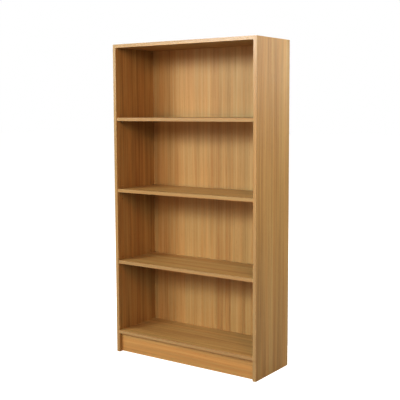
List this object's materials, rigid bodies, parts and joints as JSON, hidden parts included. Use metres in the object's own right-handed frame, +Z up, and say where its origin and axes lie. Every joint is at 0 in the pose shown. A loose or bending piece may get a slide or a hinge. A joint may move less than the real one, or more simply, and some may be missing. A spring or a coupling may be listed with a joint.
{
  "type": "bookcase with adjustable shelves",
  "caption": "Tall open bookcase in oak-effect board, with loose shelves resting on pegs between two side panels, a recessed plinth and a nailed two-leaf back.",
  "frame": {"origin": "on the floor, in the middle of the footprint, 800 mm by 290 mm", "axes": "+Z up, -Y towards the open front, +X to the right as seen from the front"},
  "size_m": [0.8, 0.29, 1.52],
  "materials": {
    "oak_foil": "oak-effect foil on chipboard, satin, fine embossed grain",
    "oak_edging": "thin oak-effect edging strip, satin, a little lighter than the faces",
    "hardboard": "hardboard, oak-effect printed front, plain brown rear",
    "brown_tape": "matt brown adhesive tape",
    "peg_steel": "nickel-plated turned steel",
    "cam_zinc": "die-cast zinc, satin",
    "bolt_steel": "zinc-plated steel",
    "beech": "raw beech",
    "cap_plastic": "oak-coloured moulded plastic",
    "nail_steel": "bright steel panel pins",
    "bracket_steel": "zinc-plated sheet steel",
    "screw_steel": "zinc-plated steel"
  },
  "bodies": {
    "carcass": {"left_side_panel": "oak_foil", "right_side_panel": "oak_foil", "top_panel": "oak_foil", "bottom_panel": "oak_foil", "plinth": "oak_foil", "left_side_front_edging": "oak_edging", "right_side_front_edging": "oak_edging", "left_side_top_edging": "oak_edging", "right_side_top_edging": "oak_edging", "top_panel_edging": "oak_edging", "bottom_panel_edging": "oak_edging", "back_panel_left": "hardboard", "back_panel_right": "hardboard", "back_join_tape": "brown_tape", "top_cam_locks": "cam_zinc", "top_cam_bolts": "bolt_steel", "top_dowels": "beech", "bottom_cam_locks": "cam_zinc", "bottom_cam_bolts": "bolt_steel", "bottom_dowels": "beech", "plinth_cam_locks": "cam_zinc", "plinth_cam_bolts": "bolt_steel", "plinth_dowels": "beech", "cam_cover_caps": "cap_plastic", "back_nails": "nail_steel", "wall_bracket_left": "bracket_steel", "wall_bracket_right": "bracket_steel", "bracket_screws": "screw_steel"},
    "shelf_lower": {"shelf_lower": "oak_foil", "shelf_lower_edging": "oak_edging"},
    "shelf_middle": {"shelf_middle": "oak_foil", "shelf_middle_edging": "oak_edging"},
    "shelf_upper": {"shelf_upper": "oak_foil", "shelf_upper_edging": "oak_edging"},
    "shelf_peg_lower_left_front": {"shelf_peg_lower_left_front": "peg_steel"},
    "shelf_peg_lower_left_rear": {"shelf_peg_lower_left_rear": "peg_steel"},
    "shelf_peg_lower_right_front": {"shelf_peg_lower_right_front": "peg_steel"},
    "shelf_peg_lower_right_rear": {"shelf_peg_lower_right_rear": "peg_steel"},
    "shelf_peg_middle_left_front": {"shelf_peg_middle_left_front": "peg_steel"},
    "shelf_peg_middle_left_rear": {"shelf_peg_middle_left_rear": "peg_steel"},
    "shelf_peg_middle_right_front": {"shelf_peg_middle_right_front": "peg_steel"},
    "shelf_peg_middle_right_rear": {"shelf_peg_middle_right_rear": "peg_steel"},
    "shelf_peg_upper_left_front": {"shelf_peg_upper_left_front": "peg_steel"},
    "shelf_peg_upper_left_rear": {"shelf_peg_upper_left_rear": "peg_steel"},
    "shelf_peg_upper_right_front": {"shelf_peg_upper_right_front": "peg_steel"},
    "shelf_peg_upper_right_rear": {"shelf_peg_upper_right_rear": "peg_steel"}
  },
  "joints": [
    {"name": "shelf_lower_draw", "type": "slide", "parent": "carcass", "child": "shelf_lower", "axis": [0, -1, 0], "range_m": [0, 0.3]},
    {"name": "shelf_middle_draw", "type": "slide", "parent": "carcass", "child": "shelf_middle", "axis": [0, -1, 0], "range_m": [0, 0.3]},
    {"name": "shelf_upper_draw", "type": "slide", "parent": "carcass", "child": "shelf_upper", "axis": [0, -1, 0], "range_m": [0, 0.3]},
    {"name": "shelf_peg_lower_left_front_pull", "type": "slide", "parent": "carcass", "child": "shelf_peg_lower_left_front", "axis": [1, 0, 0], "range_m": [0, 0.01]},
    {"name": "shelf_peg_lower_left_rear_pull", "type": "slide", "parent": "carcass", "child": "shelf_peg_lower_left_rear", "axis": [1, 0, 0], "range_m": [0, 0.01]},
    {"name": "shelf_peg_lower_right_front_pull", "type": "slide", "parent": "carcass", "child": "shelf_peg_lower_right_front", "axis": [-1, 0, 0], "range_m": [0, 0.01]},
    {"name": "shelf_peg_lower_right_rear_pull", "type": "slide", "parent": "carcass", "child": "shelf_peg_lower_right_rear", "axis": [-1, 0, 0], "range_m": [0, 0.01]},
    {"name": "shelf_peg_middle_left_front_pull", "type": "slide", "parent": "carcass", "child": "shelf_peg_middle_left_front", "axis": [1, 0, 0], "range_m": [0, 0.01]},
    {"name": "shelf_peg_middle_left_rear_pull", "type": "slide", "parent": "carcass", "child": "shelf_peg_middle_left_rear", "axis": [1, 0, 0], "range_m": [0, 0.01]},
    {"name": "shelf_peg_middle_right_front_pull", "type": "slide", "parent": "carcass", "child": "shelf_peg_middle_right_front", "axis": [-1, 0, 0], "range_m": [0, 0.01]},
    {"name": "shelf_peg_middle_right_rear_pull", "type": "slide", "parent": "carcass", "child": "shelf_peg_middle_right_rear", "axis": [-1, 0, 0], "range_m": [0, 0.01]},
    {"name": "shelf_peg_upper_left_front_pull", "type": "slide", "parent": "carcass", "child": "shelf_peg_upper_left_front", "axis": [1, 0, 0], "range_m": [0, 0.01]},
    {"name": "shelf_peg_upper_left_rear_pull", "type": "slide", "parent": "carcass", "child": "shelf_peg_upper_left_rear", "axis": [1, 0, 0], "range_m": [0, 0.01]},
    {"name": "shelf_peg_upper_right_front_pull", "type": "slide", "parent": "carcass", "child": "shelf_peg_upper_right_front", "axis": [-1, 0, 0], "range_m": [0, 0.01]},
    {"name": "shelf_peg_upper_right_rear_pull", "type": "slide", "parent": "carcass", "child": "shelf_peg_upper_right_rear", "axis": [-1, 0, 0], "range_m": [0, 0.01]}
  ]
}
